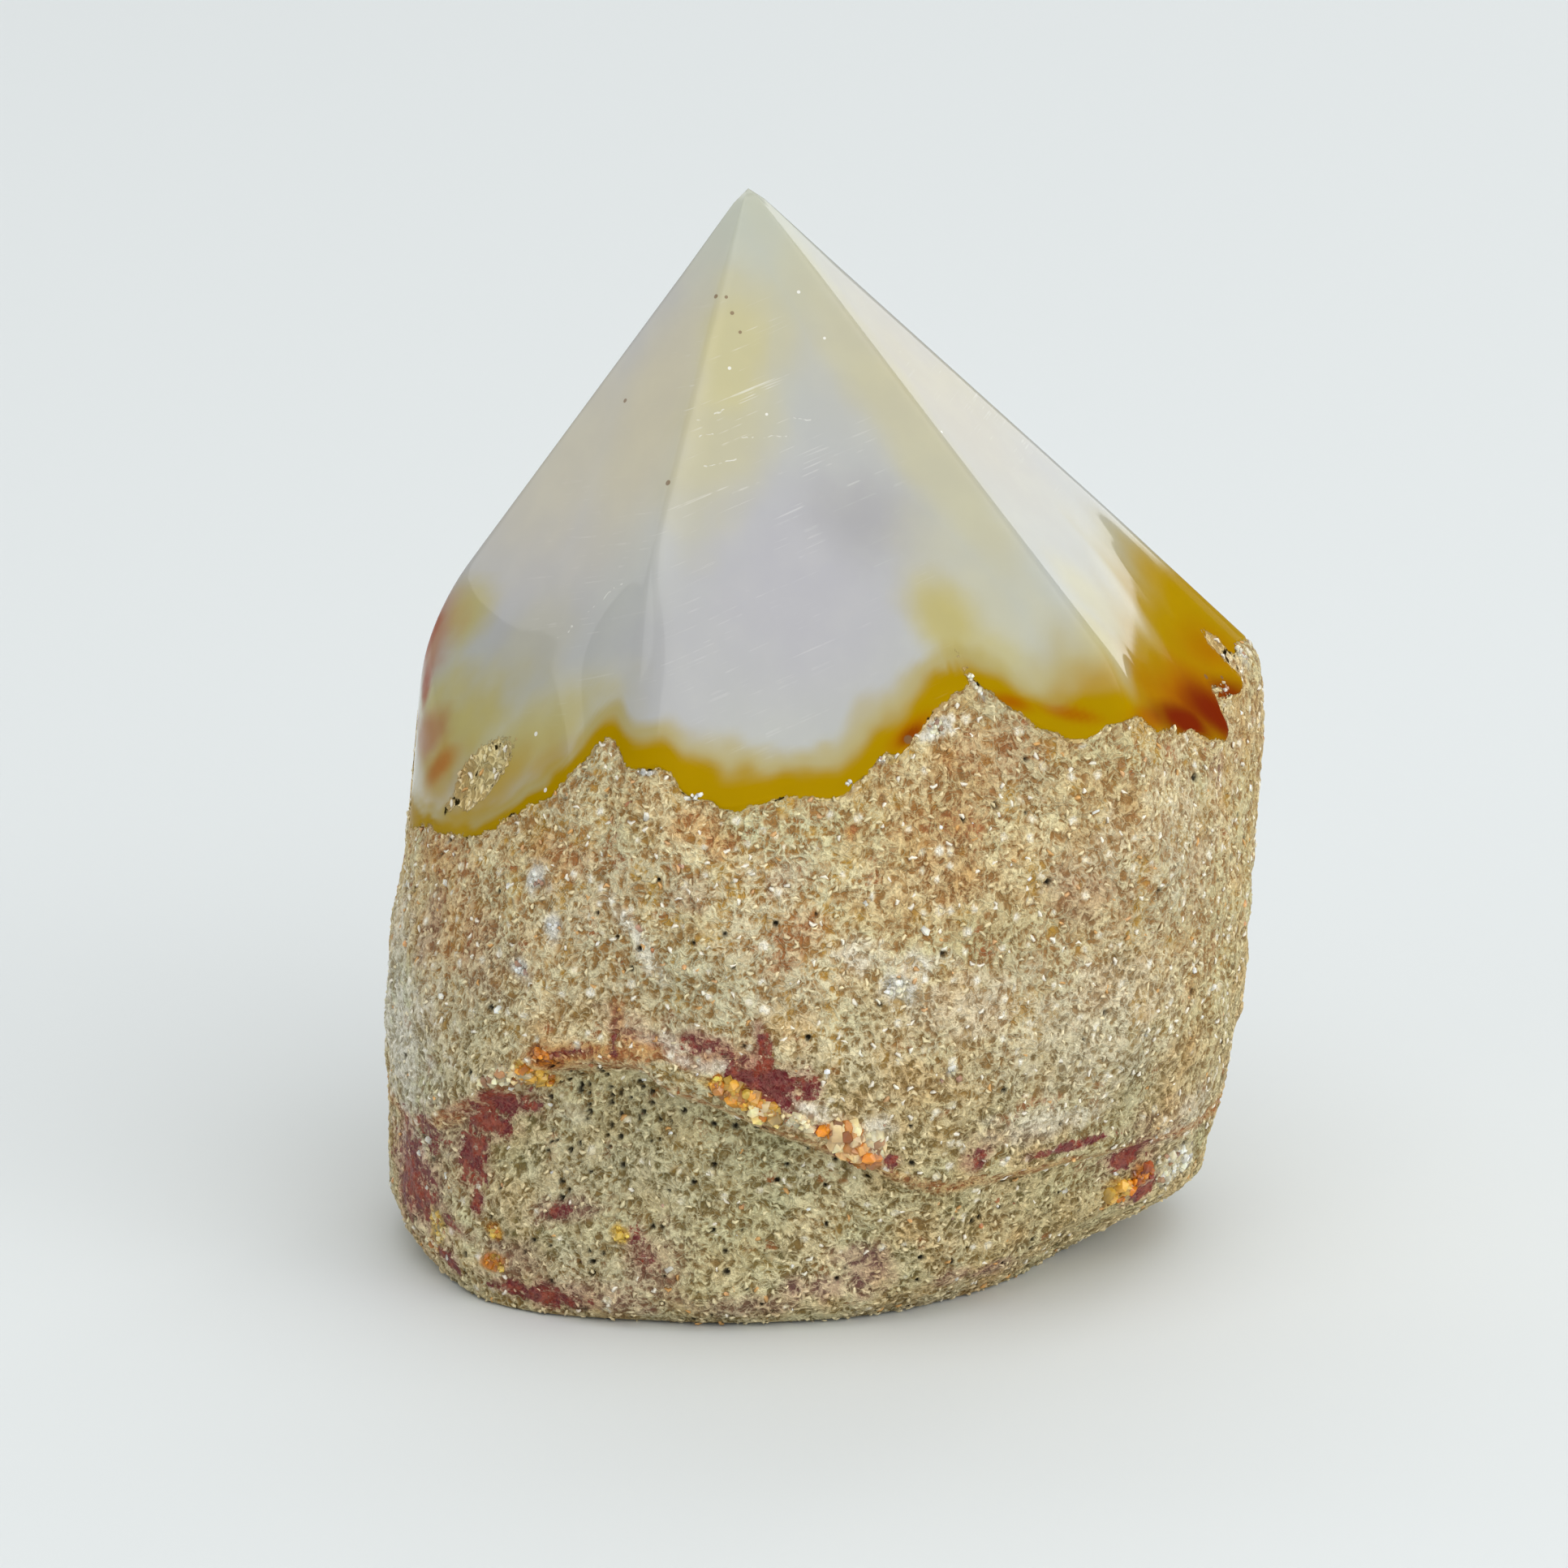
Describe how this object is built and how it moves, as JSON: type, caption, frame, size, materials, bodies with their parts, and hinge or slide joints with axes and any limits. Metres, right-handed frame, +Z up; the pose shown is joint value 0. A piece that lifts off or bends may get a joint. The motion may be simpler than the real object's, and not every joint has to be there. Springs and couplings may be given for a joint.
{
  "type": "agate point",
  "caption": "Part-polished agate point: a rough nodule with a sawn flat foot, its top ground to glossy facets that meet in a tip.",
  "frame": {"origin": "middle of the flat sawn foot, on the surface the stone stands on", "axes": "+Z up to the tip, -Y towards the front with the widest centre facet, +X to the right seen from the front"},
  "size_m": [0.0623, 0.0546, 0.0755],
  "materials": {
    "agate_stone": "milky grey-lavender agate polished to a gloss on the facets, ochre and red-brown stains along the edge of the polish, sugary tan skin with maroon and orange patches below it"
  },
  "bodies": {
    "root": {"agate": "agate_stone"}
  },
  "joints": []
}
